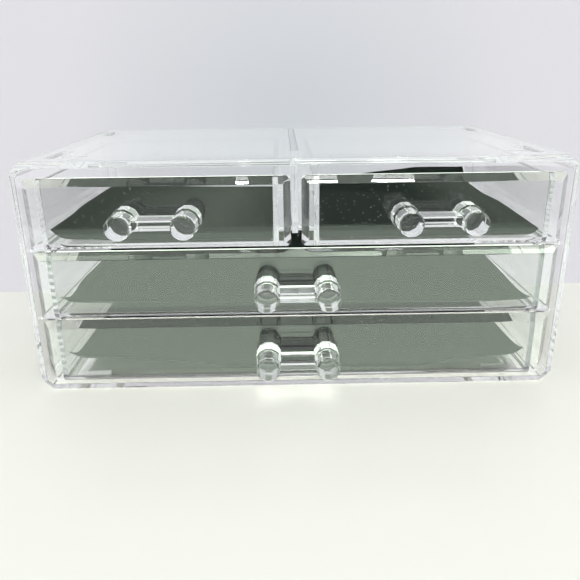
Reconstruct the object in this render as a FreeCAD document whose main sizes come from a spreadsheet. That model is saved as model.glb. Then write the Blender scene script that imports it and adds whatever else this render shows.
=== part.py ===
"""Clear acrylic drawer organizer: a chamfered sleeve with a back panel, two shelves and a divider,
and four drawers, each a tray with a bevelled front, a faceted dumbbell handle and a loose liner.

Millimetres, +Z up, drawer fronts towards -Y. The origin is the middle of the footprint, on the
surface that the organizer stands on.
"""
import FreeCAD, Part
import os
import Sketcher

# Driving sizes: spreadsheet alias, value in millimetres, meaning.
SIZES = [
    ("caseWidth", 240.0, "sleeve, side to side"),
    ("caseDepth", 137.0, "sleeve, front rim to back rim"),
    ("sideWall", 2.4, "sleeve side thickness"),
    ("topWall", 3.0, "sleeve top thickness"),
    ("baseWall", 2.6, "sleeve base thickness"),
    ("edgeChamfer", 4.9, "chamfer along the four long outer edges"),
    ("roofCornerWall", 2.8, "wall left at the upper chamfers"),
    ("baseCornerWall", 1.6, "wall left at the lower chamfers"),
    ("headroom", 4.5, "free height between the top fronts and the sleeve top"),
    ("backPanel", 2.4, "back panel thickness"),
    ("backRebate", 1.0, "step in the sleeve that locates the back panel"),
    ("bondGap", 0.05, "solvent-bond line between glued pieces"),
    ("footHeight", 1.2, "stacking foot height"),
    ("footInset", 13.0, "foot corner to the sleeve's side"),
    ("footSetback", 10.0, "foot corner to the sleeve's rim"),
    ("footWide", 16.0, "foot arm across the sleeve"),
    ("footLong", 22.0, "foot arm along the sleeve"),
    ("footStroke", 4.5, "width of the foot's arms"),
    ("stackRecess", 0.8, "depth of the stacking recess in the top"),
    ("stackGap", 0.4, "play of a foot in the recess"),
    ("shelfThickness", 1.8, "shelf thickness"),
    ("shelfSetback", 42.0, "front rim to the shelf's front edge, between its side arms"),
    ("armSetback", 5.6, "front rim to the front ends of the shelf's side arms"),
    ("armWidth", 8.5, "width of the side arms, from the sleeve's inner side"),
    ("armCorner", 4.0, "radius where a side arm leaves the shelf"),
    ("shelfGroove", 1.0, "depth of the shelf grooves in the sides"),
    ("grooveGap", 0.1, "play of a sheet in its groove"),
    ("dividerThickness", 3.0, "centre divider thickness"),
    ("dividerSetback", 28.0, "front rim to the divider's front edge"),
    ("dividerGroove", 0.6, "depth of the divider's grooves"),
    ("slideGap", 0.3, "tray underside above what it slides on"),
    ("frontLift", 0.3, "front's lower edge above the sleeve base"),
    ("frontHeight", 31.0, "drawer front height"),
    ("frontGap", 1.3, "gap between fronts, one above the other"),
    ("frontSideGap", 1.2, "gap between a front and the sleeve side"),
    ("centreGap", 4.7, "gap between the two top fronts"),
    ("frontThickness", 4.9, "drawer front thickness"),
    ("frontBevel", 3.1, "45 degree bevel on the front's four edges"),
    ("frontCorner", 1.6, "corner cut of a front"),
    ("frontOverhang", 5.3, "front past the tray's side"),
    ("trayHeadroom", 0.6, "tray rim to the shelf above"),
    ("trayRear", 2.5, "tray back to the back panel when closed"),
    ("trayWall", 2.4, "tray side and back thickness"),
    ("trayFloor", 2.0, "tray floor thickness"),
    ("trayFillet", 1.2, "inner radius where walls meet each other and the floor"),
    ("handleReach", 18.2, "front of the knobs to the drawer front"),
    ("handleDrop", 1.6, "handle axis below the middle of the front"),
    ("knobSpacing", 26.5, "between the two knobs"),
    ("collarRadius", 5.85, "corner radius of the knob's rear collar"),
    ("collarLength", 7.2, "length of the rear collar"),
    ("neckRadius", 5.0, "corner radius of the groove round the knob"),
    ("neckLength", 0.8, "width of the groove"),
    ("headRadius", 5.25, "corner radius of the knob's head"),
    ("headBevel", 0.5, "bevel round the knob's face"),
    ("barHeight", 4.4, "handle bar, top to bottom"),
    ("barStandoff", 3.0, "handle bar to the drawer front"),
    ("barDepth", 10.8, "handle bar, front to back"),
    ("barBevel", 0.6, "bevel along the bar's edges"),
    ("barFlare", 1.5, "height that the bar gains, above and below, where it meets a knob"),
    ("barFillet", 2.0, "radius where the bar starts to flare"),
    ("linerThickness", 1.0, "liner thickness"),
    ("linerPlay", 0.6, "liner edge to the tray's side"),
    ("linerSetback", 6.0, "liner edge to the drawer front"),
    ("linerSeat", 0.2, "rest clearance under and behind the liner"),
    ("linerBend", 3.0, "inner radius of the liner's turned-up back"),
    ("linerCorner", 6.0, "radius of the liner's front corners"),
    ("linerRise", 6.5, "height of a liner's turned-up back"),
    ("linerBottomRise", 8.0, "the same on the bottom drawer's liner"),
    ("linerHighRise", 13.0, "the same on the liner that climbs its tray's back"),
]

KNOB_SIDES = 12

# Places and sizes that follow from the driving ones, as spreadsheet formulas.
CASE_FRONT = "((Sizes.handleReach - Sizes.caseDepth) / 2)"
CASE_BACK = "((Sizes.handleReach + Sizes.caseDepth) / 2)"
OUTER_HALF = "(Sizes.caseWidth / 2)"
INNER_HALF = f"({OUTER_HALF} - Sizes.sideWall)"
ROW_PITCH = "(Sizes.frontHeight + Sizes.frontGap)"
BASE_TOP = "(Sizes.footHeight + Sizes.baseWall)"
ROOF = f"({BASE_TOP} + Sizes.frontLift + 3 * Sizes.frontHeight + 2 * Sizes.frontGap + Sizes.headroom)"
CASE_TOP = f"({ROOF} + Sizes.topWall)"
ROOF_CORNER = "(Sizes.edgeChamfer - Sizes.sideWall - Sizes.topWall + Sizes.roofCornerWall * sqrt(2))"
BASE_CORNER = "(Sizes.edgeChamfer - Sizes.sideWall - Sizes.baseWall + Sizes.baseCornerWall * sqrt(2))"
SHELF_FRONT = f"({CASE_FRONT} + Sizes.shelfSetback)"
ARM_FRONT = f"({CASE_FRONT} + Sizes.armSetback)"
PANEL_FRONT = f"({CASE_BACK} - Sizes.backPanel)"
DIVIDER_FRONT = f"({CASE_FRONT} + Sizes.dividerSetback)"
WIDE_FRONT = "(Sizes.caseWidth - 2 * Sizes.sideWall - 2 * Sizes.frontSideGap)"
NARROW_FRONT = f"(({WIDE_FRONT} - Sizes.centreGap) / 2)"
TOP_ROW_X = f"((Sizes.centreGap + {NARROW_FRONT}) / 2)"
TRAY_FRONT = f"({CASE_FRONT} + Sizes.frontThickness + Sizes.bondGap)"
TRAY_LENGTH = f"({PANEL_FRONT} - Sizes.trayRear - {TRAY_FRONT})"
TRAY_HEIGHT = f"({ROW_PITCH} - Sizes.shelfThickness - Sizes.slideGap - Sizes.trayHeadroom)"
KNOB_X = "(Sizes.knobSpacing / 2)"
HANDLE_AXIS = "(Sizes.frontHeight / 2 - Sizes.handleDrop)"

LOWER_SHELF = f"({BASE_TOP} + {ROW_PITCH})"
UPPER_SHELF = f"({LOWER_SHELF} + {ROW_PITCH})"

# Drawer name, surface that it slides on, place across the case, front width, height of the liner's back.
DRAWERS = [
    ("bottom", BASE_TOP, "0", WIDE_FRONT, "Sizes.linerBottomRise"),
    ("middle", LOWER_SHELF, "0", WIDE_FRONT, "Sizes.linerRise"),
    ("top_left", UPPER_SHELF, f"-{TOP_ROW_X}", NARROW_FRONT, "Sizes.linerRise"),
    ("top_right", UPPER_SHELF, TOP_ROW_X, NARROW_FRONT, "Sizes.linerHighRise"),
]


# ---- building blocks -------------------------------------------------------------------------

def fill_sheet(doc):
    """The spreadsheet of driving sizes."""
    sheet = doc.addObject("Spreadsheet::Sheet", "Sizes")
    for line, (alias, value, meaning) in enumerate(SIZES, start=1):
        sheet.set(f"A{line}", alias)
        sheet.set(f"B{line}", str(value))
        sheet.set(f"C{line}", meaning)
        sheet.setAlias(f"B{line}", alias)
    doc.recompute()
    return sheet


def new_body(doc, node):
    body = doc.addObject("PartDesign::Body", "Body_" + node)
    body.Label = node
    return body


def new_sketch(body, name, plane, height="0"):
    """An empty sketch on one of the body's own planes, moved along that plane's normal by height."""
    sketch = body.newObject("Sketcher::SketchObject", f"{body.Label}_{name}_outline")
    origin_plane = next(item for item in body.Origin.OriginFeatures if item.Role == plane)
    sketch.AttachmentSupport = [(origin_plane, "")]
    sketch.MapMode = "FlatFace"
    sketch.setExpression("AttachmentOffset.Base.z", height)
    return sketch


def value_of(body, formula):
    """The number that a formula gives, to place sketch geometry before its constraints bind it."""
    return float(FreeCAD.Units.Quantity(body.evalExpression(formula)).Value)


def pin_point(body, sketch, geometry, point, x, y):
    """Ties a sketch point to the origin by two formulas."""
    for kind, formula in (("DistanceX", x), ("DistanceY", y)):
        constraint = Sketcher.Constraint(kind, -1, 1, geometry, point, value_of(body, formula))
        index = sketch.addConstraint(constraint)
        sketch.setExpression(f"Constraints[{index}]", formula)


def add_outline(body, sketch, corners):
    """A closed run of straight lines through corners, a list of (x, y) formulas."""
    first = sketch.GeometryCount
    count = len(corners)
    places = [FreeCAD.Vector(value_of(body, x), value_of(body, y), 0) for x, y in corners]
    for i in range(count):
        sketch.addGeometry(Part.LineSegment(places[i], places[(i + 1) % count]), False)
    for i in range(count):
        following = first + (i + 1) % count
        sketch.addConstraint(Sketcher.Constraint("Coincident", first + i, 2, following, 1))
    for i, (x, y) in enumerate(corners):
        pin_point(body, sketch, first + i, 1, x, y)


def extrude(body, name, sketch, length, reverse=False, cut=False):
    """A pad, or a pocket if cut. A pad follows the sketch's normal and a pocket goes against it."""
    kind = "PartDesign::Pocket" if cut else "PartDesign::Pad"
    before = body.Shape.Volume if cut else 0
    feature = body.newObject(kind, f"{body.Label}_{name}")
    feature.Profile = sketch
    feature.setExpression("Length", length)
    feature.Reversed = reverse
    sketch.Visibility = False
    body.Document.recompute()
    if cut and body.Shape.Volume > before - 1e-6:
        raise RuntimeError(f"{feature.Name} cuts nothing")
    return feature


def edges_where(shape, test):
    """Names of the edges whose two ends pass test(start, end)."""
    names = []
    for number, edge in enumerate(shape.Edges, start=1):
        start, end = edge.Vertexes[0].Point, edge.Vertexes[-1].Point
        if test(start, end):
            names.append(f"Edge{number}")
    return names


def dress(body, kind, name, size, test):
    """A fillet or a chamfer on the edges that pass test."""
    base = body.Tip
    feature = body.newObject("PartDesign::" + kind, f"{body.Label}_{name}")
    feature.Base = (base, edges_where(base.Shape, test))
    feature.setExpression("Radius" if kind == "Fillet" else "Size", size)
    body.Document.recompute()


def place(body, x, y, z):
    for axis, formula in (("x", x), ("y", y), ("z", z)):
        body.setExpression(f"Placement.Base.{axis}", formula)


def near(a, b):
    return abs(a - b) < 1e-4


# ---- outlines --------------------------------------------------------------------------------

def rectangle(x_low, x_high, y_low, y_high):
    return [(x_low, y_low), (x_high, y_low), (x_high, y_high), (x_low, y_high)]


def eight_sided(half, low, high, low_cut, high_cut):
    """A box section about x = 0 with its four corners cut at 45 degrees."""
    return [
        (f"-({half} - {low_cut})", low), (f"({half} - {low_cut})", low),
        (half, f"({low} + {low_cut})"), (half, f"({high} - {high_cut})"),
        (f"({half} - {high_cut})", high), (f"-({half} - {high_cut})", high),
        (f"-{half}", f"({high} - {high_cut})"), (f"-{half}", f"({low} + {low_cut})"),
    ]


def sleeve_inside(grow="0", corner_gap="0"):
    """The sleeve's inner section with its flat sides moved outwards by grow and its chamfered
    corners moved inwards by corner_gap."""
    shift = f"(2 * {grow} + {corner_gap} * sqrt(2))"
    return eight_sided(
        f"({INNER_HALF} + {grow})", f"({BASE_TOP} - {grow})", f"({ROOF} + {grow})",
        f"({BASE_CORNER} + {shift})", f"({ROOF_CORNER} + {shift})",
    )


def foot_outline(rim, inwards, grow):
    """An L on the right-hand side. rim is the y of the nearer rim; inwards points into the case, 1 or -1."""
    x = f"({OUTER_HALF} - Sizes.footInset + {grow})"
    y = f"({rim} + {inwards} * (Sizes.footSetback - {grow}))"
    x_step = f"({x} - Sizes.footStroke - 2 * {grow})"
    y_step = f"({y} + {inwards} * (Sizes.footStroke + 2 * {grow}))"
    x_end = f"({x} - Sizes.footWide - 2 * {grow})"
    y_end = f"({y} + {inwards} * (Sizes.footLong + 2 * {grow}))"
    return [(x, y), (x, y_end), (x_step, y_end), (x_step, y_step), (x_end, y_step), (x_end, y)]


def knob_outline(x, radius):
    """A regular polygon with a flat on top."""
    step = 360 / KNOB_SIDES
    corners = []
    for i in range(KNOB_SIDES):
        angle = f"{(i + 0.5) * step} deg"
        corners.append((f"({x} + {radius} * cos({angle}))", f"({radius} * sin({angle}))"))
    return corners


# ---- the case --------------------------------------------------------------------------------

def make_case_shell(doc):
    body = new_body(doc, "case_shell")
    sketch = new_sketch(body, "sleeve", "XZ_Plane", f"-{CASE_FRONT}")
    add_outline(body, sketch, eight_sided(
        OUTER_HALF, "Sizes.footHeight", CASE_TOP, "Sizes.edgeChamfer", "Sizes.edgeChamfer"))
    extrude(body, "sleeve", sketch, "Sizes.caseDepth", reverse=True)

    sketch = new_sketch(body, "cavity", "XZ_Plane", f"-{CASE_FRONT}")
    add_outline(body, sketch, sleeve_inside())
    extrude(body, "cavity", sketch, "Sizes.caseDepth", cut=True)

    sketch = new_sketch(body, "rebate", "XZ_Plane", f"-({PANEL_FRONT} - Sizes.bondGap)")
    add_outline(body, sketch, sleeve_inside("Sizes.backRebate"))
    extrude(body, "rebate", sketch, "Sizes.backPanel + Sizes.bondGap", cut=True)

    groove_half = f"({INNER_HALF} + Sizes.shelfGroove)"
    for name, top in (("lower", LOWER_SHELF), ("upper", UPPER_SHELF)):
        sketch = new_sketch(body, f"{name}_shelf_groove", "XZ_Plane", f"-{ARM_FRONT}")
        low = f"({top} - Sizes.shelfThickness - Sizes.grooveGap)"
        high = f"({top} + Sizes.grooveGap)"
        add_outline(body, sketch, rectangle(f"-{groove_half}", groove_half, low, high))
        extrude(body, f"{name}_shelf_groove", sketch, f"{PANEL_FRONT} - {ARM_FRONT}", cut=True)

    sketch = new_sketch(body, "divider_groove", "XZ_Plane", f"-{DIVIDER_FRONT}")
    half = "(Sizes.dividerThickness / 2 + Sizes.grooveGap)"
    high = f"({ROOF} + Sizes.dividerGroove)"
    add_outline(body, sketch, rectangle(f"-{half}", half, f"({ROOF} - Sizes.grooveGap)", high))
    extrude(body, "divider_groove", sketch, f"{PANEL_FRONT} - {DIVIDER_FRONT}", cut=True)

    sketch = new_sketch(body, "feet", "XY_Plane")
    for rim, inwards in ((CASE_FRONT, 1), (CASE_BACK, -1)):
        add_outline(body, sketch, foot_outline(rim, inwards, "0"))
    feet = extrude(body, "feet", sketch, "Sizes.footHeight")

    sketch = new_sketch(body, "recesses", "XY_Plane", CASE_TOP)
    for rim, inwards in ((CASE_FRONT, 1), (CASE_BACK, -1)):
        add_outline(body, sketch, foot_outline(rim, inwards, "Sizes.stackGap"))
    recesses = extrude(body, "recesses", sketch, "Sizes.stackRecess", cut=True)

    mirror = body.newObject("PartDesign::Mirrored", "case_shell_left_side")
    mirror.Originals = [feet, recesses]
    middle = next(item for item in body.Origin.OriginFeatures if item.Role == "YZ_Plane")
    mirror.MirrorPlane = (middle, [""])
    body.Tip = mirror
    doc.recompute()
    return body


def make_back_panel(doc):
    body = new_body(doc, "back_panel")
    sketch = new_sketch(body, "panel", "XZ_Plane", f"-{PANEL_FRONT}")
    add_outline(body, sketch, sleeve_inside("(Sizes.backRebate - Sizes.grooveGap)", "Sizes.grooveGap"))
    extrude(body, "panel", sketch, "Sizes.backPanel", reverse=True)
    return body


def make_shelf(doc, node, top, holds_divider=False):
    """A shelf slid into the side grooves, with two narrow arms that carry the drawers' sides as far as
    their fronts. The divider's groove runs out through the edge between the arms, because the divider
    reaches further forward."""
    body = new_body(doc, node)
    half = f"({INNER_HALF} + Sizes.shelfGroove - Sizes.grooveGap)"
    inner = f"({INNER_HALF} - Sizes.armWidth)"
    front, back = f"({ARM_FRONT} + Sizes.grooveGap)", f"({PANEL_FRONT} - Sizes.grooveGap)"
    sketch = new_sketch(body, "sheet", "XY_Plane", f"({top} - Sizes.shelfThickness)")
    add_outline(body, sketch, [
        (f"-{half}", front), (f"-{inner}", front), (f"-{inner}", SHELF_FRONT), (inner, SHELF_FRONT),
        (inner, front), (half, front), (half, back), (f"-{half}", back),
    ])
    extrude(body, "sheet", sketch, "Sizes.shelfThickness")
    edge, side_x = value_of(body, SHELF_FRONT), value_of(body, inner)
    dress(body, "Fillet", "arm_corners", "Sizes.armCorner",
          lambda a, b: near(a.y, edge) and near(b.y, edge) and near(a.x, b.x) and near(abs(a.x), side_x))
    if holds_divider:
        sketch = new_sketch(body, "groove", "XY_Plane", top)
        side = "(Sizes.dividerThickness / 2 + Sizes.grooveGap)"
        add_outline(body, sketch, rectangle(f"-{side}", side, DIVIDER_FRONT, back))
        extrude(body, "groove", sketch, "Sizes.dividerGroove", cut=True)
    return body


def make_divider(doc):
    body = new_body(doc, "centre_divider")
    bottom = f"({UPPER_SHELF} - Sizes.dividerGroove + Sizes.grooveGap)"
    top = f"({ROOF} + Sizes.dividerGroove - Sizes.grooveGap)"
    sketch = new_sketch(body, "sheet", "XY_Plane", bottom)
    side = "(Sizes.dividerThickness / 2)"
    front, back = f"({DIVIDER_FRONT} + Sizes.grooveGap)", f"({PANEL_FRONT} - Sizes.grooveGap)"
    add_outline(body, sketch, rectangle(f"-{side}", side, front, back))
    extrude(body, "sheet", sketch, f"{top} - {bottom}")
    return body


# ---- a drawer --------------------------------------------------------------------------------

def make_tray(doc, node, width):
    """Floor, two sides and a back; the open front end is bonded to the drawer front. Local origin:
    underside, middle of the front end."""
    body = new_body(doc, node)
    half = f"({width} / 2 - Sizes.frontOverhang)"
    inner = f"({half} - Sizes.trayWall)"
    inner_back = f"({TRAY_LENGTH} - Sizes.trayWall)"
    sketch = new_sketch(body, "block", "XY_Plane")
    add_outline(body, sketch, rectangle(f"-{half}", half, "0", TRAY_LENGTH))
    extrude(body, "block", sketch, TRAY_HEIGHT)
    back = value_of(body, TRAY_LENGTH)
    dress(body, "Fillet", "rear_corners", "Sizes.trayFillet + Sizes.trayWall",
          lambda a, b: near(a.x, b.x) and near(a.y, back) and near(b.y, back))

    sketch = new_sketch(body, "hollow", "XY_Plane", TRAY_HEIGHT)
    add_outline(body, sketch, rectangle(f"-{inner}", inner, "-Sizes.trayWall", inner_back))
    extrude(body, "hollow", sketch, f"{TRAY_HEIGHT} - Sizes.trayFloor", cut=True)
    floor, hollow_back = value_of(body, "Sizes.trayFloor"), value_of(body, inner_back)
    side = value_of(body, inner)

    def inside_corner(a, b):
        on_floor = near(a.z, floor) and near(b.z, floor)
        on_back = near(a.y, hollow_back) and near(b.y, hollow_back)
        on_side = near(a.x, b.x) and near(abs(a.x), side)
        return on_floor + on_back + on_side == 2

    dress(body, "Fillet", "inside_corners", "Sizes.trayFillet", inside_corner)
    return body


def make_front(doc, node, width):
    """Thick panel bevelled on its four front edges. Local origin: front face, middle of the lower edge."""
    body = new_body(doc, node)
    half = f"({width} / 2)"
    height = "Sizes.frontHeight"
    sketch = new_sketch(body, "slab", "XZ_Plane")
    add_outline(body, sketch, rectangle(f"-{half}", half, "0", height))
    extrude(body, "slab", sketch, "Sizes.frontThickness", reverse=True)
    dress(body, "Chamfer", "bevel", "Sizes.frontBevel", lambda a, b: near(a.y, 0) and near(b.y, 0))

    sketch = new_sketch(body, "corners", "XZ_Plane")
    cut = "Sizes.frontCorner"
    for side in ("-", ""):
        edge, inset = f"{side}{half}", f"{side}({half} - {cut})"
        add_outline(body, sketch, [(edge, "0"), (inset, "0"), (edge, cut)])
        add_outline(body, sketch, [(edge, height), (inset, height), (edge, f"({height} - {cut})")])
    extrude(body, "corners", sketch, "Sizes.frontThickness", cut=True)
    return body


def make_handle(doc, node):
    """Two faceted knobs joined by a bevelled bar that flares into them. The rear of each knob is bonded
    to the drawer front. Local origin: on the drawer front's face, midway between the knobs."""
    body = new_body(doc, node)
    half = "(Sizes.barHeight / 2)"
    flare = f"({half} + Sizes.barFlare)"
    touch = f"sqrt((Sizes.headRadius * cos({180 / KNOB_SIDES} deg)) ^ 2 - {flare} ^ 2)"
    end_x = f"({KNOB_X} - {touch})"
    bend_x = f"({end_x} - Sizes.barFlare * {flare} / {touch})"
    upper = [(KNOB_X, flare), (end_x, flare), (bend_x, half)]
    upper += [(f"-{x}", z) for x, z in reversed(upper)]
    lower = [(x, f"-{z}") for x, z in reversed(upper)]
    sketch = new_sketch(body, "bar", "XZ_Plane", "Sizes.barStandoff")
    add_outline(body, sketch, upper + lower)
    extrude(body, "bar", sketch, "Sizes.barDepth")
    bend = value_of(body, bend_x)
    dress(body, "Fillet", "bar_flares", "Sizes.barFillet",
          lambda a, b: near(abs(a.x), bend) and near(a.x, b.x) and near(a.z, b.z))
    rear = -value_of(body, "Sizes.barStandoff")
    nose = -value_of(body, "Sizes.barStandoff + Sizes.barDepth")
    dress(body, "Chamfer", "bar_bevels", "Sizes.barBevel",
          lambda a, b: near(a.y, b.y) and (near(a.y, rear) or near(a.y, nose)))

    neck_start = "(Sizes.bondGap + Sizes.collarLength)"
    head_start = f"({neck_start} + Sizes.neckLength)"
    stages = [
        ("collars", "Sizes.collarRadius", "Sizes.bondGap", "Sizes.collarLength"),
        ("necks", "Sizes.neckRadius", neck_start, "Sizes.neckLength"),
        ("heads", "Sizes.headRadius", head_start, f"Sizes.handleReach - {head_start}"),
    ]
    for name, radius, start, length in stages:
        sketch = new_sketch(body, name, "XZ_Plane", start)
        for side in ("-", ""):
            add_outline(body, sketch, knob_outline(side + KNOB_X, radius))
        extrude(body, name, sketch, length)
    face = -value_of(body, "Sizes.handleReach")
    dress(body, "Chamfer", "faces", "Sizes.headBevel", lambda a, b: near(a.y, face) and near(b.y, face))
    return body


def make_liner(doc, node, width, rise):
    """A thin mat that lies on the tray floor and turns up at the back. Local origin: underside, at
    the tray's front end."""
    body = new_body(doc, node)
    half = f"({width} / 2 - Sizes.frontOverhang - Sizes.trayWall - Sizes.linerPlay)"
    front = "Sizes.linerSetback"
    back = f"({TRAY_LENGTH} - Sizes.trayWall - Sizes.linerSeat)"
    thick = "Sizes.linerThickness"
    sketch = new_sketch(body, "mat", "YZ_Plane", f"-{half}")
    add_outline(body, sketch, [
        (front, "0"), (back, "0"), (back, rise),
        (f"({back} - {thick})", rise), (f"({back} - {thick})", thick), (front, thick),
    ])
    extrude(body, "mat", sketch, f"2 * {half}")
    fold = value_of(body, back)
    thickness = value_of(body, thick)
    dress(body, "Fillet", "outer_bend", f"Sizes.linerBend + {thick}",
          lambda a, b: near(a.y, fold) and near(b.y, fold) and near(a.z, 0) and near(b.z, 0))
    dress(body, "Fillet", "inner_bend", "Sizes.linerBend",
          lambda a, b: near(a.y, fold - thickness) and near(b.y, fold - thickness)
          and near(a.z, thickness) and near(b.z, thickness))
    start = value_of(body, front)
    dress(body, "Fillet", "corners", "Sizes.linerCorner",
          lambda a, b: near(a.y, start) and near(b.y, start) and near(a.x, b.x))
    return body


def make_drawer(doc, name, slides_on, x, width, rise):
    """The four pieces of a drawer, closed."""
    tray_z = f"({slides_on} + Sizes.slideGap)"
    front_z = f"({slides_on} + Sizes.frontLift)"
    tray = make_tray(doc, name + "_tray", width)
    place(tray, x, TRAY_FRONT, tray_z)
    front = make_front(doc, name + "_front", width)
    place(front, x, CASE_FRONT, front_z)
    handle = make_handle(doc, name + "_handle")
    place(handle, x, CASE_FRONT, f"{front_z} + {HANDLE_AXIS}")
    liner = make_liner(doc, name + "_liner", width, rise)
    place(liner, x, TRAY_FRONT, f"{tray_z} + Sizes.trayFloor + Sizes.linerSeat")
    return [tray, front, handle, liner]


# ---- the whole organizer ---------------------------------------------------------------------

def check(doc, bodies):
    """Stops on a feature that failed, and on a piece that isn't one valid solid."""
    for item in doc.Objects:
        if {"Invalid", "Error"} & set(item.State):
            raise RuntimeError(f"{item.Name} failed: {item.State}")
    for body in bodies:
        shape = body.Shape
        if shape.isNull() or not shape.isValid() or len(shape.Solids) != 1:
            raise RuntimeError(f"{body.Label} isn't one valid solid")


def main():
    doc = FreeCAD.newDocument("DrawerOrganizer")
    fill_sheet(doc)
    bodies = [
        make_case_shell(doc),
        make_back_panel(doc),
        make_shelf(doc, "lower_shelf", LOWER_SHELF),
        make_shelf(doc, "upper_shelf", UPPER_SHELF, holds_divider=True),
        make_divider(doc),
    ]
    for drawer in DRAWERS:
        bodies += make_drawer(doc, *drawer)
    doc.recompute()
    check(doc, bodies)
    os.makedirs("parts", exist_ok=True)
    for body in bodies:
        body.Shape.exportStep(f"parts/{body.Label}.step")
        box = body.Shape.BoundBox
        print(f"{body.Label:20s} {body.Shape.Volume:10.1f} mm3  x {box.XMin:8.2f} {box.XMax:8.2f}"
              f"  y {box.YMin:8.2f} {box.YMax:8.2f}  z {box.ZMin:7.2f} {box.ZMax:7.2f}")


main()
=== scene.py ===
"""Clear acrylic drawer organizer on a pale table: the pieces, their finishes and the stage.

Metres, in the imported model's own frame: +Z up, drawer fronts towards -Y.
"""
import math

import bmesh
import bpy
from bpy.props import FloatProperty, FloatVectorProperty, PointerProperty
from mathutils import Matrix, Vector


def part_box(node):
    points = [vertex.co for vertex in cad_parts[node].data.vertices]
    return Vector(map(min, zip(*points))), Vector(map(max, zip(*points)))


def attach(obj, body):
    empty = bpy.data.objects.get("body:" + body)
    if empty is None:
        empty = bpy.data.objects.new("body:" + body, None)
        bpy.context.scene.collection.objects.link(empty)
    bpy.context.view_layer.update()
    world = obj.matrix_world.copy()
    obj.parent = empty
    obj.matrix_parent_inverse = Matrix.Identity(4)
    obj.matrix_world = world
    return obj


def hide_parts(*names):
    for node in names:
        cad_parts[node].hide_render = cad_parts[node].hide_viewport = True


bl_info = {
    "name": "Clear Drawer Organizer",
    "version": (1, 0, 0),
    "blender": (4, 5, 0),
    "location": "3D View > Sidebar > Organizer",
    "description": "Builds a clear acrylic drawer organizer with faceted handles and dark liners",
    "category": "Object",
}

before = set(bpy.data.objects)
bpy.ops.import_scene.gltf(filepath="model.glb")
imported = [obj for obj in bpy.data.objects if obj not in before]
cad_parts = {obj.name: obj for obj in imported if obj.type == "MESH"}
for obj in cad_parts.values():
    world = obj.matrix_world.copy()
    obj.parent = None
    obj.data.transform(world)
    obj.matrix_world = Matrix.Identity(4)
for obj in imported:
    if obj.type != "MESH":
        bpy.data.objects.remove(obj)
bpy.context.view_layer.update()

DRAWERS = ("top_left", "top_right", "middle", "bottom")
PANELS = ("case_shell", "back_panel", "lower_shelf", "upper_shelf", "centre_divider")
MM = 0.001
PER_METRE = 1000  # a pattern's scale is this over its size in millimetres
WELD = 1e-6  # vertices nearer than this, in metres, are one
FLAT_TURN = math.radians(1)  # faces that turn less than this are one flat face
HARD_TURN = math.radians(25)  # edges that turn more than this are rounded
SMOOTH_TURN = math.radians(50)  # normals blend across edges that turn less than this
# Just behind the outer faces of the closed drawer fronts, in metres along Y.
OUTER_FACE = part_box("middle_front")[0].y + 0.2 * MM

# The stage, in metres
TABLE_HALF = 4
WALL_PLACE, WALL_HALF, WALL_TOP = 0.08, 2, 2
LAMP_PLACE, LAMP_HEIGHT, LAMP_DEPTH = -0.33, 1.5, 0.2
CARD_HEIGHT = 0.0004  # low cards lie this far above the table
SENSOR_WIDTH = 36  # of the camera, in millimetres
CLIP_START = 0.01
SKY_COLOUR, SKY_STRENGTH = "#F4F5F7", 0.88

# Each lamp's name, place and width along X, and watts.
LAMPS = (
    ("left_ceiling_lamp", -0.113, 0.036, 1.4),
    ("middle_ceiling_lamp", 0.089, 0.12, 2.9),
    ("right_ceiling_lamp", 0.30, 0.12, 2.7),
)
# Each card's name, near and far edge along Y, half width, height, and brightness along X.
CARDS = (
    ("near_card", -0.075, -0.29, 0.3, CARD_HEIGHT, [(-0.3, 4.2), (0.3, 4.2)]),
    ("middle_card", -0.29, -0.33, 0.3, CARD_HEIGHT, [(-0.3, 3.6), (0.3, 3.2)]),
    ("fading_card", -0.33, -0.35, 0.3, CARD_HEIGHT, [(-0.3, 2.7), (0.3, 2.4)]),
    ("faint_card", -0.35, -0.37, 0.3, CARD_HEIGHT, [(-0.3, 1.8), (0.3, 1.5)]),
    ("far_card", -0.37, -0.62, 1.0, CARD_HEIGHT, [
        (-1.0, 0.6), (-0.19, 0.7), (-0.07, 1.5), (0.04, 0.1),
        (0.15, 0.1), (0.22, 1.1), (1.0, 1.1),
    ]),
    ("window_card", -0.62, -1.6, 1.0, CARD_HEIGHT, [
        (-1.0, 0.5), (-0.5, 0.8), (-0.2, 1.9), (0.0, 2.5), (0.25, 2.2), (0.5, 0.8), (1.0, 0.5),
    ]),
    ("ceiling_card", -0.42, -0.58, 1.0, LAMP_HEIGHT, [
        (-1.0, 3.4), (-0.2, 6.9), (0.0, 6.1), (0.25, 13.0), (1.0, 13.0),
    ]),
)


# Colour, node and mesh helpers

def linear(hex_code):
    """An sRGB hex colour as linear red, green, blue and alpha."""
    values = [int(hex_code[i:i + 2], 16) / 255 for i in (1, 3, 5)]
    return [v / 12.92 if v <= 0.04045 else ((v + 0.055) / 1.055) ** 2.4 for v in values] + [1.0]


def add_node(tree, kind, inputs=None, **settings):
    """A new shader node with its settings; inputs are values, or sockets to link from."""
    node = tree.nodes.new(kind)
    for name, value in settings.items():
        setattr(node, name, value)
    for name, value in (inputs or {}).items():
        if isinstance(value, bpy.types.NodeSocket):
            tree.links.new(value, node.inputs[name])
        else:
            node.inputs[name].default_value = value
    return node


def new_material(name):
    """An empty node material and its tree."""
    material = bpy.data.materials.new(name)
    material.use_nodes = True
    material.node_tree.nodes.clear()
    return material, material.node_tree


def finish_material(tree, surface):
    """Links a shader to the material's surface output."""
    add_node(tree, "ShaderNodeOutputMaterial", {"Surface": surface})


def link_object(name, data):
    """A new object of the scene."""
    thing = bpy.data.objects.new(name, data)
    bpy.context.scene.collection.objects.link(thing)
    return thing


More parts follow.
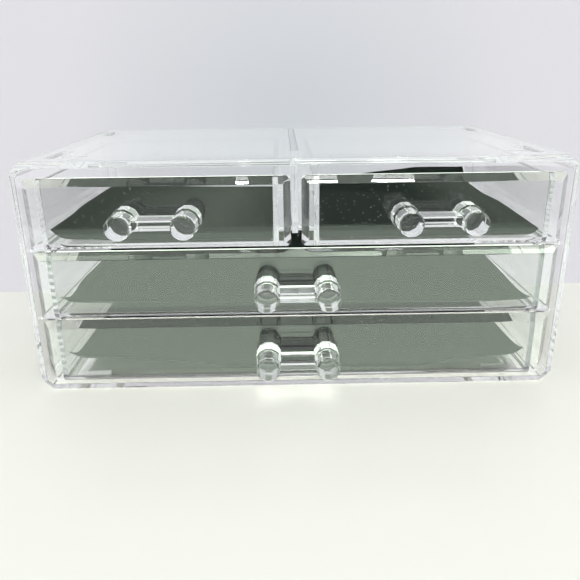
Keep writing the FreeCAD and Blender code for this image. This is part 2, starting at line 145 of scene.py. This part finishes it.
def add_piece(name, mesh, body, node, material):
    """A mesh as a named piece that rides on a body and stands for a CAD node."""
    piece = link_object(name, mesh)
    mesh.materials.clear()
    mesh.materials.append(material)
    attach(piece, body)
    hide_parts(node)
    return piece


def smooth_normals(mesh, limit):
    """Corner normals that leave wide flat faces exact and turn smoothly over the narrow rounds."""
    around = {}
    for polygon in mesh.polygons:
        for vertex in polygon.vertices:
            around.setdefault(vertex, []).append(polygon)
    normals = [None] * len(mesh.loops)
    threshold = math.cos(limit)
    to_square_mm = 1e6
    for polygon in mesh.polygons:
        for loop, vertex in zip(polygon.loop_indices, polygon.vertices):
            total = Vector((0, 0, 0))
            for other in around[vertex]:
                if polygon.normal.dot(other.normal) > threshold:
                    total += other.normal * (other.area * to_square_mm) ** 3
            if total.length < 1e-30:
                total = polygon.normal.copy()
            normals[loop] = total.normalized()
    for polygon in mesh.polygons:
        polygon.use_smooth = True
    mesh.normals_split_custom_set(normals)


def rounded_mesh(node, name, width):
    """The node's shape as a new mesh whose hard edges are rounded by width."""
    shape = bmesh.new()
    shape.from_mesh(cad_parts[node].data)
    bmesh.ops.remove_doubles(shape, verts=shape.verts, dist=WELD)
    bmesh.ops.dissolve_limit(
        shape, angle_limit=FLAT_TURN, verts=shape.verts, edges=shape.edges
    )
    hard = [e for e in shape.edges if e.is_manifold and e.calc_face_angle() > HARD_TURN]
    bmesh.ops.bevel(
        shape, geom=hard, offset=width, offset_type="OFFSET", segments=2, profile=0.5,
        affect="EDGES", clamp_overlap=True,
    )
    mesh = bpy.data.meshes.new(name)
    shape.to_mesh(mesh)
    shape.free()
    smooth_normals(mesh, SMOOTH_TURN)
    return mesh


# Finishes

ACRYLIC_IOR = 1.49
DUST_CELL, SMUDGE, TUFT, FLECK_CELL = 3.5, 23, 0.8, 5  # sizes in millimetres
# The bonds are painted grey as shade below the top row, with painted rungs of light on the
# left-hand joints.
LEFT_JOINT = -0.1  # the left-hand bonds lie beyond this place along X, in metres
TOP_ROW = 0.068  # the top row's bonds lie above this height
BAND = 0.314  # width of one band of the wave texture at scale 1, in metres
# Painted rungs of light lie this far apart, in metres.
PAINTED_RUNG_PITCH = 0.0033
PAINTED_SHADE_PLACE, PAINTED_SHADE_REACH = (0, WALL_PLACE, 0.11), 0.14  # where the wall is painted greyer as shade, and how far
WALL_LIGHT = 0.7  # share of the wall's look that is light of its own
GATHERED = 0.16  # how much brighter the wall looks through plastic
CARD_COLOUR = "#EEFFEB"
PASSED_SHARE = 0.5  # of a card's brightness, once the light has gone through plastic


def with_dust(tree, place, surface, share):
    """The surface with pale specks in a share of the cells on a front's outer face.

    The specks are drawn 0.4 mm across, a little larger than real dust, so that they show.
    """
    face = add_node(
        tree, "ShaderNodeMapping", {"Vector": place, "Rotation": (math.pi / 2, 0, 0)}
    ).outputs["Vector"]
    cell = add_node(
        tree, "ShaderNodeTexVoronoi", {"Vector": face, "Scale": PER_METRE / DUST_CELL},
        voronoi_dimensions="2D",
    ).outputs
    near = add_node(
        tree, "ShaderNodeMapRange",
        {
            "Value": cell["Distance"], "From Min": 0.03, "From Max": 0.08,
            "To Min": 0.5, "To Max": 0.0,
        },
    ).outputs["Result"]
    chance = add_node(tree, "ShaderNodeSeparateColor", {"Color": cell["Color"]}).outputs["Red"]
    held = add_node(
        tree, "ShaderNodeMath", {0: chance, 1: share}, operation="LESS_THAN"
    ).outputs["Value"]
    depth = add_node(tree, "ShaderNodeSeparateXYZ", {"Vector": place}).outputs["Y"]
    outer = add_node(
        tree, "ShaderNodeMath", {0: depth, 1: OUTER_FACE}, operation="LESS_THAN"
    ).outputs["Value"]
    speckled = add_node(
        tree, "ShaderNodeMath", {0: near, 1: held}, operation="MULTIPLY"
    ).outputs["Value"]
    cover = add_node(
        tree, "ShaderNodeMath", {0: speckled, 1: outer}, operation="MULTIPLY"
    ).outputs["Value"]
    speck = add_node(tree, "ShaderNodeBsdfDiffuse", {"Color": linear("#C8CCC6")}).outputs["BSDF"]
    return add_node(
        tree, "ShaderNodeMixShader", {0: cover, 1: surface, 2: speck}
    ).outputs["Shader"]


def clear_plastic(name, bump_mm, ripple_mm, haze, dust=0.0):
    """Clear, colourless acrylic that lets lamps through, with faint ripples ripple_mm wide.

    haze is the roughness of smudges from handling, and dust the share of cells with a speck.
    """
    material, tree = new_material(name)
    place = add_node(tree, "ShaderNodeTexCoord").outputs["Object"]
    ripple = add_node(
        tree, "ShaderNodeTexNoise",
        {"Vector": place, "Scale": PER_METRE / ripple_mm, "Detail": 1.0},
    ).outputs["Fac"]
    bump = add_node(
        tree, "ShaderNodeBump", {"Height": ripple, "Distance": bump_mm * MM}
    ).outputs["Normal"]
    rough = 0.0
    if haze:
        # Smudges about as wide as a fingertip's sweep.
        smudge = add_node(
            tree, "ShaderNodeTexNoise",
            {"Vector": place, "Scale": PER_METRE / SMUDGE, "Detail": 5.0},
        ).outputs["Fac"]
        rough = add_node(
            tree, "ShaderNodeMapRange",
            {"Value": smudge, "From Min": 0.55, "From Max": 0.8, "To Max": haze},
        ).outputs["Result"]
    surface = add_node(
        tree, "ShaderNodeBsdfPrincipled",
        {
            "Base Color": linear("#FFFFFF"), "Roughness": rough, "IOR": ACRYLIC_IOR,
            "Transmission Weight": 1.0, "Normal": bump,
        },
    ).outputs["BSDF"]
    if dust:
        surface = with_dust(tree, place, surface, dust)
    # Clear plastic casts only a weak shadow, so lamps shine through it.
    shadow = add_node(tree, "ShaderNodeLightPath").outputs["Is Shadow Ray"]
    through = add_node(
        tree, "ShaderNodeBsdfTransparent", {"Color": linear("#FCFCFC")}
    ).outputs["BSDF"]
    mixed = add_node(tree, "ShaderNodeMixShader", {0: shadow, 1: surface, 2: through})
    finish_material(tree, mixed.outputs["Shader"])
    return material


def extruded_sheet_acrylic():
    """Extruded acrylic sheet, cut and diamond polished: almost free of ripple, glassy edges."""
    return clear_plastic("extruded_sheet_acrylic", bump_mm=0.002, ripple_mm=60, haze=0.03)


def handled_sheet_acrylic():
    """The same polished sheet as the drawer fronts, which are handled and gather specks of dust."""
    return clear_plastic(
        "handled_sheet_acrylic", bump_mm=0.002, ripple_mm=60, haze=0.03, dust=0.3
    )


def moulded_clear_acrylic():
    """Injection-moulded clear acrylic: bright, with the slight ripple of a cooled moulding."""
    return clear_plastic("moulded_clear_acrylic", bump_mm=0.01, ripple_mm=14, haze=0.05)


def painted_shade_bond():
    """Solvent-welded joint of a tray wall with its front, with painted light and shade: clear in
    the top row, painted grey as shade below it, with clear painted rungs of light 3.3 mm apart on
    the left-hand joint, standing in for the light and shade that the tray walls carry to their
    edges."""
    material = clear_plastic("painted_shade_bond", bump_mm=0.01, ripple_mm=14, haze=0.0)
    tree = material.node_tree
    place = add_node(tree, "ShaderNodeTexCoord").outputs["Object"]
    # Painted rungs of light, in bands across Z, on the left-hand joint.
    wave = add_node(
        tree, "ShaderNodeTexWave", {"Vector": place, "Scale": BAND / PAINTED_RUNG_PITCH, "Distortion": 1.0},
        bands_direction="Z",
    ).outputs["Fac"]
    painted_rung_wave = add_node(
        tree, "ShaderNodeMapRange", {"Value": wave, "From Min": 0.4, "From Max": 0.6}
    ).outputs["Result"]
    parts = add_node(tree, "ShaderNodeSeparateXYZ", {"Vector": place}).outputs
    left = add_node(
        tree, "ShaderNodeMath", {0: parts["X"], 1: LEFT_JOINT}, operation="LESS_THAN"
    ).outputs["Value"]
    top_row = add_node(
        tree, "ShaderNodeMath", {0: parts["Z"], 1: TOP_ROW}, operation="GREATER_THAN"
    ).outputs["Value"]
    left_painted_rungs = add_node(
        tree, "ShaderNodeMath", {0: painted_rung_wave, 1: left}, operation="MULTIPLY"
    ).outputs["Value"]
    clear = add_node(
        tree, "ShaderNodeMath", {0: left_painted_rungs, 1: top_row}, operation="MAXIMUM"
    ).outputs["Value"]
    # Painted shade: grey below the top row, clear in the top row and on the painted rungs.
    tone = add_node(
        tree, "ShaderNodeMixRGB", {0: clear, 1: linear("#6E7376"), 2: linear("#FFFFFF")}
    ).outputs["Color"]
    glass = next(node for node in tree.nodes if node.bl_idname == "ShaderNodeBsdfPrincipled")
    tree.links.new(tone, glass.inputs["Base Color"])
    return material


def pressed_liner_felt(dark, fleck):
    """Thin pressed felt, near black: matte and fibrous, with pale flecks."""
    material, tree = new_material("pressed_liner_felt")
    place = add_node(tree, "ShaderNodeTexCoord").outputs["Object"]
    # Fibres are finer than the eye can part here, so they are drawn as wider tufts.
    tuft = add_node(
        tree, "ShaderNodeTexNoise", {"Vector": place, "Scale": PER_METRE / TUFT, "Detail": 3.0}
    ).outputs["Fac"]
    tone = add_node(
        tree, "ShaderNodeMixRGB", {0: tuft, 1: dark, 2: linear("#0C1810")}
    ).outputs["Color"]
    # Flecks about 1 mm across, in one of four cells. Real ones are finer, and are drawn larger
    # so that they show.
    cell = add_node(
        tree, "ShaderNodeTexVoronoi", {"Vector": place, "Scale": PER_METRE / FLECK_CELL},
        voronoi_dimensions="2D",
    ).outputs
    dot = add_node(
        tree, "ShaderNodeMapRange",
        {
            "Value": cell["Distance"], "From Min": 0.05, "From Max": 0.11,
            "To Min": 1.0, "To Max": 0.0,
        },
    ).outputs["Result"]
    chance = add_node(tree, "ShaderNodeSeparateColor", {"Color": cell["Color"]}).outputs["Red"]
    chosen = add_node(
        tree, "ShaderNodeMath", {0: chance, 1: 0.75}, operation="GREATER_THAN"
    ).outputs["Value"]
    shown = add_node(
        tree, "ShaderNodeMath", {0: dot, 1: chosen}, operation="MULTIPLY"
    ).outputs["Value"]
    flecked = add_node(
        tree, "ShaderNodeMixRGB", {0: shown, 1: tone, 2: fleck}
    ).outputs["Color"]
    cloth = add_node(
        tree, "ShaderNodeBsdfPrincipled",
        {"Base Color": flecked, "Roughness": 0.9, "Specular IOR Level": 0.2},
    )
    finish_material(tree, cloth.outputs["BSDF"])
    return material


def satin_table(colour):
    """Satin-lacquered table top: pale, with a soft sheen that mirrors what stands on it."""
    material, tree = new_material("satin_table")
    lacquer = add_node(
        tree, "ShaderNodeBsdfPrincipled",
        {"Base Color": colour, "Roughness": 0.2, "Specular IOR Level": 0.3},
    )
    finish_material(tree, lacquer.outputs["BSDF"])
    return material


def one_sided(tree, surface):
    """The shader on the face's front, and nothing behind it."""
    side = add_node(tree, "ShaderNodeNewGeometry").outputs["Backfacing"]
    clear = add_node(tree, "ShaderNodeBsdfTransparent").outputs["BSDF"]
    return add_node(
        tree, "ShaderNodeMixShader", {0: side, 1: surface, 2: clear}
    ).outputs["Shader"]


def matte_wall(colour):
    """Matt wall paint with painted shade, a little greyer close above the object, and clear from
    behind.

    The lens, glass and mirrors see it with a share of light of its own, so that it keeps its
    written colour behind the object; lamps see only paint.
    """
    material, tree = new_material("matte_wall")
    place = add_node(tree, "ShaderNodeTexCoord").outputs["Object"]
    # Painted shade: the paint turns greyer, towards #D8DDE1, close above the object.
    away = add_node(
        tree, "ShaderNodeVectorMath", {0: place, 1: PAINTED_SHADE_PLACE}, operation="DISTANCE"
    ).outputs["Value"]
    far = add_node(
        tree, "ShaderNodeMapRange", {"Value": away, "From Min": 0.0, "From Max": PAINTED_SHADE_REACH}
    ).outputs["Result"]
    tone = add_node(
        tree, "ShaderNodeMixRGB", {0: far, 1: linear("#D8DDE1"), 2: colour}
    ).outputs["Color"]
    paint = add_node(
        tree, "ShaderNodeBsdfPrincipled",
        {"Base Color": tone, "Roughness": 0.9, "Specular IOR Level": 0.3},
    ).outputs["BSDF"]
    path = add_node(tree, "ShaderNodeLightPath").outputs
    # Through the plastic the paint looks a little brighter, for the light its edges gather.
    gathered = add_node(
        tree, "ShaderNodeMath", {0: path["Is Transmission Ray"], 1: GATHERED, 2: 1.0},
        operation="MULTIPLY_ADD",
    ).outputs["Value"]
    plain = add_node(
        tree, "ShaderNodeEmission", {"Color": tone, "Strength": gathered}
    ).outputs["Emission"]
    direct = add_node(
        tree, "ShaderNodeMath", {0: path["Is Camera Ray"], 1: path["Is Glossy Ray"]},
        operation="MAXIMUM",
    ).outputs["Value"]
    seen = add_node(
        tree, "ShaderNodeMath", {0: direct, 1: path["Is Transmission Ray"]}, operation="MAXIMUM"
    ).outputs["Value"]
    share = add_node(
        tree, "ShaderNodeMath", {0: seen, 1: WALL_LIGHT}, operation="MULTIPLY"
    ).outputs["Value"]
    surface = add_node(
        tree, "ShaderNodeMixShader", {0: share, 1: paint, 2: plain}
    ).outputs["Shader"]
    finish_material(tree, one_sided(tree, surface))
    return material


def reflector_card(name, levels):
    """A card that shows only in reflections: gloss mirrors its face, the lens looks through it.

    levels are (place in metres along X, brightness) points that blend softly into each other.
    They hold for a clean reflection. Light that went through the plastic first comes back weaker.
    """
    material, tree = new_material(name)
    start, end = levels[0][0], levels[-1][0]
    most = max(level for x, level in levels)
    place = add_node(tree, "ShaderNodeTexCoord").outputs["Object"]
    across = add_node(tree, "ShaderNodeSeparateXYZ", {"Vector": place}).outputs["X"]
    share = add_node(
        tree, "ShaderNodeMapRange", {"Value": across, "From Min": start, "From Max": end}
    ).outputs["Result"]
    tones = add_node(tree, "ShaderNodeValToRGB", {"Fac": share})
    stops = tones.color_ramp.elements
    for k, (x, level) in enumerate(levels):
        spot = (x - start) / (end - start)
        # The ramp starts with two stops.
        stop = stops[k] if k < 2 else stops.new(spot)
        stop.position = spot
        stop.color = [level / most * part for part in linear(CARD_COLOUR)[:3]] + [1.0]
    path = add_node(tree, "ShaderNodeLightPath").outputs
    clean = add_node(
        tree, "ShaderNodeMath", {0: path["Transmission Depth"], 1: 0.5}, operation="LESS_THAN"
    ).outputs["Value"]
    strength = add_node(
        tree, "ShaderNodeMath",
        {0: clean, 1: most * (1 - PASSED_SHARE), 2: most * PASSED_SHARE},
        operation="MULTIPLY_ADD",
    ).outputs["Value"]
    glow = add_node(
        tree, "ShaderNodeEmission", {"Color": tones.outputs["Color"], "Strength": strength}
    ).outputs["Emission"]
    clear = add_node(tree, "ShaderNodeBsdfTransparent").outputs["BSDF"]
    mirrored = add_node(
        tree, "ShaderNodeMath", {0: path["Glossy Depth"], 1: 0.5}, operation="GREATER_THAN"
    ).outputs["Value"]
    surface = add_node(
        tree, "ShaderNodeMixShader", {0: mirrored, 1: clear, 2: glow}
    ).outputs["Shader"]
    finish_material(tree, one_sided(tree, surface))
    return material


# Liners

# Height of each liner's edges above the tray floor, in millimetres, at places along the edge.
CURLS = {
    "top_left": {
        "left": [(-51, 5.5), (-20, 5.5), (-5, 6.2), (15, 6.0), (50, 5.5), (70, 4.0)],
        "right": [(0, 0.2)],
        "front": [(-104, 1.6), (-87, 0.9), (-65, 0.4), (-11, 0.2)],
        "back": [(-100, 3.0), (-50, 1.5), (-11, 1.0)],
    },
    "top_right": {
        "left": [(0, 0.2)],
        "right": [(-51, 2.8), (-30, 3.4), (0, 4.1), (15, 3.7), (30, 3.2), (50, 3.8)],
        "front": [(65, 0.2), (104, 0.4)],
        "back": [(11, 3.0), (35, 6.6), (51, 8.9), (69, 10.6), (78, 11.6), (107, 11.5)],
    },
    "middle": {
        "left": [(-51, 5.4), (-44, 3.2), (-38, 1.6), (-30, 2.1), (-20, 3.4), (15, 2.8), (50, 4.0)],
        "right": [(-51, 2.4), (-44, 1.5), (-36, 0.9), (-20, 1.6), (0, 2.5), (50, 4.0)],
        "front": [(-107, 4.5), (-85, 3.7), (0, 2.2), (86, 1.0), (107, 1.8)],
        "back": [(-107, 3.5), (0, 4.0), (107, 4.6)],
    },
    "bottom": {
        "left": [(-51, 8.8), (-44, 6.1), (-38, 4.5), (-20, 3.6), (50, 3.2)],
        "right": [(-51, 8.0), (-38, 5.9), (-20, 5.2), (50, 4.0)],
        "front": [
            (-106, 8.6), (-89, 7.7), (-65, 5.5), (-37, 2.7), (-22, 0.9), (0, 0.3),
            (45, 0.2), (59, 0.8), (73, 3.4), (88, 5.0), (102, 5.8), (107, 6.2),
        ],
        "back": [(-107, 3.0), (107, 3.0)],
    },
}
CURL_START = 0.003  # a curl reaches this far in from its edge, in metres,
CURL_SPREAD = {"left": 1.2, "right": 1.2, "front": 2.5, "back": 2.2}  # and this many heights more
LINER_COLUMNS, LINER_ROWS = 72, 44
FRONT_REACH = 0.0026  # the sheet goes on past its solid to the foot of the tray's front wall
RIM_FACE = 2e-6  # faces smaller than this, in square metres, belong to the liner's cut rim


def edge_height(points, place):
    """Height of a curled edge at a place, on a smooth line through its (place, height) points."""
    if place <= points[0][0]:
        return points[0][1]
    if place >= points[-1][0]:
        return points[-1][1]
    k = max(i for i, point in enumerate(points) if point[0] <= place)
    (start, low), (end, high) = points[k], points[k + 1]
    before, after = points[max(k - 1, 0)], points[min(k + 2, len(points) - 1)]
    run = end - start
    leave = (high - before[1]) / (end - before[0]) * run
    arrive = (after[1] - low) / (after[0] - start) * run
    t = (place - start) / run
    return (
        low * (2 * t ** 3 - 3 * t ** 2 + 1) + leave * (t ** 3 - 2 * t ** 2 + t)
        + high * (3 * t ** 2 - 2 * t ** 3) + arrive * (t ** 3 - t ** 2)
    )


def liner_mesh(name, box, thick, curl, floor):
    """A thin sheet that lies on the tray floor and curls up towards its edges.

    box is left, right, front and back; curl gives the height of each edge as (place, height) points
    in millimetres.
    """
    left, right, front, back = box
    columns, rows = LINER_COLUMNS, LINER_ROWS
    shape = bmesh.new()
    tops, unders = [], []
    for j in range(rows + 1):
        y = front + (back - front) * j / rows
        for i in range(columns + 1):
            x = left + (right - left) * i / columns
            # The cubes add up so that two curls meet softly in a corner.
            total = 0.0
            for edge, distance, place in (
                ("left", x - left, y), ("right", right - x, y),
                ("front", y - front, x), ("back", back - y, x),
            ):
                lift = max(edge_height(curl[edge], place / MM) * MM, 0.0)
                reach = CURL_START + CURL_SPREAD[edge] * lift
                if distance < reach:
                    total += (lift * (1 - distance / reach) ** 2) ** 3
            z = floor + total ** (1 / 3)
            tops.append(shape.verts.new((x, y, z + thick)))
            unders.append(shape.verts.new((x, y, z)))
    wide = columns + 1
    for j in range(rows):
        for i in range(columns):
            a = j * wide + i
            corners = (a, a + 1, a + 1 + wide, a + wide)
            shape.faces.new([tops[k] for k in corners])
            shape.faces.new([unders[k] for k in reversed(corners)])
    rim = (
        list(range(wide)) + [j * wide + columns for j in range(1, rows + 1)]
        + [rows * wide + i for i in range(columns - 1, -1, -1)]
        + [j * wide for j in range(rows - 1, 0, -1)]
    )
    for a, b in zip(rim, rim[1:] + rim[:1]):
        shape.faces.new((unders[a], unders[b], tops[b], tops[a]))
    bmesh.ops.recalc_face_normals(shape, faces=shape.faces)
    mesh = bpy.data.meshes.new(name)
    shape.to_mesh(mesh)
    shape.free()
    for polygon in mesh.polygons:
        polygon.use_smooth = polygon.area > RIM_FACE
    return mesh


# Settings

class OrganizerCaseSettings(bpy.types.PropertyGroup):
    """Sizes of the sleeve and its panels."""
    edge_round: FloatProperty(
        name="Edge round", description="Round on the polished edges of the sheets",
        default=0.0002, min=0.00005, max=0.0005, unit="LENGTH",
    )


class OrganizerDrawerSettings(bpy.types.PropertyGroup):
    """Sizes of the trays, fronts and handles."""
    tray_round: FloatProperty(
        name="Tray round", description="Round on the moulded edges of the trays",
        default=0.00025, min=0.00005, max=0.0005, unit="LENGTH",
    )
    facet_round: FloatProperty(
        name="Facet round", description="Round between the facets of the handles",
        default=0.00012, min=0.00005, max=0.0004, unit="LENGTH",
    )


class OrganizerLinerSettings(bpy.types.PropertyGroup):
    """Size and colours of the liners."""
    thickness: FloatProperty(
        name="Thickness", description="Thickness of the liner sheet",
        default=0.0005, min=0.0002, max=0.002, unit="LENGTH",
    )
    felt_colour: FloatVectorProperty(
        name="Felt colour", description="Darkest tone of the felt", size=4, subtype="COLOR",
        min=0, max=1, default=linear("#06120B"),
    )
    fleck_colour: FloatVectorProperty(
        name="Fleck colour", description="Colour of the flecks in the felt", size=4,
        subtype="COLOR", min=0, max=1, default=linear("#848C86"),
    )


class OrganizerStageSettings(bpy.types.PropertyGroup):
    """Colours of the stage, and where the camera stands."""
    table_colour: FloatVectorProperty(
        name="Table colour", description="Colour of the table", size=4, subtype="COLOR",
        min=0, max=1, default=linear("#F5F6EC"),
    )
    wall_colour: FloatVectorProperty(
        name="Wall colour", description="Colour of the wall", size=4, subtype="COLOR",
        min=0, max=1, default=linear("#E8E7EC"),
    )
    camera_place: FloatVectorProperty(
        name="Camera place", description="Place of the camera", size=3, unit="LENGTH",
        default=(-0.006191, -0.314784, 0.142327),
    )
    camera_turn: FloatVectorProperty(
        name="Camera turn", description="Camera turn: to the right, down and roll", size=3,
        unit="ROTATION", default=(0.012, 0.350, -0.012),
    )
    lens: FloatProperty(
        name="Lens", description="Focal length of the camera, in millimetres on a 36 mm sensor",
        default=37.69, min=10, max=200,
    )


# Operators

def drawer_piece(row, part, width, material):
    """One rounded clear piece of a drawer, such as its tray; returns its mesh."""
    node = row + "_" + part
    mesh = rounded_mesh(node, "clear_" + node, width)
    add_piece("clear_" + node, mesh, row + "_drawer", node, material)
    return mesh


class OBJECT_OT_organizer_case(bpy.types.Operator):
    """Builds the sleeve, the back panel, the shelves and the divider"""
    bl_idname = "organizer.case"
    bl_label = "Case"

    def execute(self, context):
        width = context.scene.organizer_case.edge_round
        acrylic = extruded_sheet_acrylic()
        for node in PANELS:
            mesh = rounded_mesh(node, "clear_" + node, width)
            add_piece("clear_" + node, mesh, "case", node, acrylic)
        return {"FINISHED"}


class OBJECT_OT_organizer_trays(bpy.types.Operator):
    """Builds the four drawer trays"""
    bl_idname = "organizer.trays"
    bl_label = "Trays"

    def execute(self, context):
        width = context.scene.organizer_drawers.tray_round
        acrylic, bond = moulded_clear_acrylic(), painted_shade_bond()
        for row in DRAWERS:
            mesh = drawer_piece(row, "tray", width, acrylic)
            # The tray's foremost faces, square to Y, are bonded to the front, and take the bond's
            # painted shade.
            mesh.materials.append(bond)
            bonded = min(vertex.co.y for vertex in mesh.vertices) + 0.1 * MM
            for polygon in mesh.polygons:
                if polygon.normal.y < -0.99 and polygon.center.y < bonded:
                    polygon.material_index = 1
        return {"FINISHED"}


class OBJECT_OT_organizer_fronts(bpy.types.Operator):
    """Builds the four bevelled drawer fronts"""
    bl_idname = "organizer.fronts"
    bl_label = "Fronts"

    def execute(self, context):
        width = context.scene.organizer_case.edge_round
        acrylic = handled_sheet_acrylic()
        for row in DRAWERS:
            drawer_piece(row, "front", width, acrylic)
        return {"FINISHED"}


class OBJECT_OT_organizer_handles(bpy.types.Operator):
    """Builds the four faceted dumbbell handles"""
    bl_idname = "organizer.handles"
    bl_label = "Handles"

    def execute(self, context):
        width = context.scene.organizer_drawers.facet_round
        acrylic = moulded_clear_acrylic()
        for row in DRAWERS:
            drawer_piece(row, "handle", width, acrylic)
        return {"FINISHED"}


class OBJECT_OT_organizer_liners(bpy.types.Operator):
    """Lays the four thin liners in the trays"""
    bl_idname = "organizer.liners"
    bl_label = "Liners"

    def execute(self, context):
        settings = context.scene.organizer_liners
        felt = pressed_liner_felt(settings.felt_colour, settings.fleck_colour)
        for row in DRAWERS:
            low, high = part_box(row + "_liner")
            box = (low.x, high.x, low.y - FRONT_REACH, high.y)
            mesh = liner_mesh(
                row + "_liner_sheet", box, settings.thickness, CURLS[row], low.z
            )
            piece = add_piece(
                row + "_liner_sheet", mesh, row + "_drawer", row + "_liner", felt
            )
        return {"FINISHED"}


def add_plane(name, corners, material):
    """A single face for the stage."""
    mesh = bpy.data.meshes.new(name)
    mesh.from_pydata(corners, [], [tuple(range(len(corners)))])
    mesh.materials.append(material)
    link_object(name, mesh)


def add_card(name, near, far, half, height, levels):
    """A reflector card, level with the table, whose face is turned towards the object."""
    corners = [
        (-half, far, height), (half, far, height), (half, near, height), (-half, near, height),
    ]
    if height > CARD_HEIGHT:
        corners.reverse()
    add_plane(name, corners, reflector_card(name, levels))


def add_lamp(name, x, width, power):
    """An oval lamp that hangs in front of the object and shines straight down."""
    lamp = bpy.data.lights.new(name, "AREA")
    lamp.energy = power
    lamp.shape = "ELLIPSE"
    lamp.size = width
    lamp.size_y = LAMP_DEPTH
    link_object(name, lamp).location = (x, LAMP_PLACE, LAMP_HEIGHT)


def add_camera(place, turn, lens):
    """The camera at its place, turned by (to the right, down, roll) from looking along +Y."""
    yaw, down, roll = turn
    ahead = Vector((
        math.sin(yaw) * math.cos(down), math.cos(yaw) * math.cos(down), -math.sin(down),
    ))
    right = Vector((math.cos(yaw), -math.sin(yaw), 0))
    up = right.cross(ahead)
    side = right * math.cos(roll) + up * math.sin(roll)
    top = up * math.cos(roll) - right * math.sin(roll)
    optics = bpy.data.cameras.new("camera")
    optics.lens = lens
    optics.sensor_width = SENSOR_WIDTH
    optics.clip_start = CLIP_START
    camera = link_object("camera", optics)
    axes = Matrix((side, top, -ahead)).transposed().to_4x4()
    camera.matrix_world = Matrix.Translation(Vector(place)) @ axes
    bpy.context.scene.camera = camera


class OBJECT_OT_organizer_stage(bpy.types.Operator):
    """Sets up the table, the wall, the reflector cards, the lamps and the camera"""
    bl_idname = "organizer.stage"
    bl_label = "Stage"

    def execute(self, context):
        scene = context.scene
        settings = scene.organizer_stage
        scene.view_settings.view_transform = "Standard"
        # Light has to cross up to a few dozen clear surfaces.
        scene.cycles.max_bounces = 48
        scene.cycles.transmission_bounces = 48
        scene.cycles.glossy_bounces = 32
        scene.cycles.transparent_max_bounces = 64
        t, w = TABLE_HALF, WALL_HALF
        add_plane(
            "table", [(-t, -t, 0), (t, -t, 0), (t, t, 0), (-t, t, 0)],
            satin_table(settings.table_colour),
        )
        add_plane(
            "wall",
            [
                (-w, WALL_PLACE, 0), (w, WALL_PLACE, 0),
                (w, WALL_PLACE, WALL_TOP), (-w, WALL_PLACE, WALL_TOP),
            ],
            matte_wall(settings.wall_colour),
        )
        for card in CARDS:
            add_card(*card)
        world = bpy.data.worlds.new("studio")
        scene.world = world
        world.use_nodes = True
        sky = world.node_tree.nodes["Background"]
        sky.inputs["Color"].default_value = linear(SKY_COLOUR)
        sky.inputs["Strength"].default_value = SKY_STRENGTH
        for lamp in LAMPS:
            add_lamp(*lamp)
        add_camera(settings.camera_place, settings.camera_turn, settings.lens)
        return {"FINISHED"}


# Panel and registration

STEPS = (
    OBJECT_OT_organizer_case, OBJECT_OT_organizer_trays, OBJECT_OT_organizer_fronts,
    OBJECT_OT_organizer_handles, OBJECT_OT_organizer_liners, OBJECT_OT_organizer_stage,
)
GROUPS = {
    "organizer_case": OrganizerCaseSettings,
    "organizer_drawers": OrganizerDrawerSettings,
    "organizer_liners": OrganizerLinerSettings,
    "organizer_stage": OrganizerStageSettings,
}


class VIEW3D_PT_organizer(bpy.types.Panel):
    """Lists the organizer's pieces and their settings"""
    bl_label = "Drawer organizer"
    bl_idname = "VIEW3D_PT_organizer"
    bl_space_type = "VIEW_3D"
    bl_region_type = "UI"
    bl_category = "Organizer"

    def draw(self, context):
        for step in STEPS:
            self.layout.operator(step.bl_idname)
        for name, group in GROUPS.items():
            for setting in group.__annotations__:
                self.layout.prop(getattr(context.scene, name), setting)


def register():
    for group in GROUPS.values():
        bpy.utils.register_class(group)
    for name, group in GROUPS.items():
        setattr(bpy.types.Scene, name, PointerProperty(type=group))
    for step in STEPS:
        bpy.utils.register_class(step)
    bpy.utils.register_class(VIEW3D_PT_organizer)


def unregister():
    bpy.utils.unregister_class(VIEW3D_PT_organizer)
    for step in reversed(STEPS):
        bpy.utils.unregister_class(step)
    for name in GROUPS:
        delattr(bpy.types.Scene, name)
    for group in GROUPS.values():
        bpy.utils.unregister_class(group)


def main():
    register()
    bpy.ops.organizer.case()
    bpy.ops.organizer.trays()
    bpy.ops.organizer.fronts()
    bpy.ops.organizer.handles()
    bpy.ops.organizer.liners()
    bpy.ops.organizer.stage()


if __name__ == "__main__":
    main()
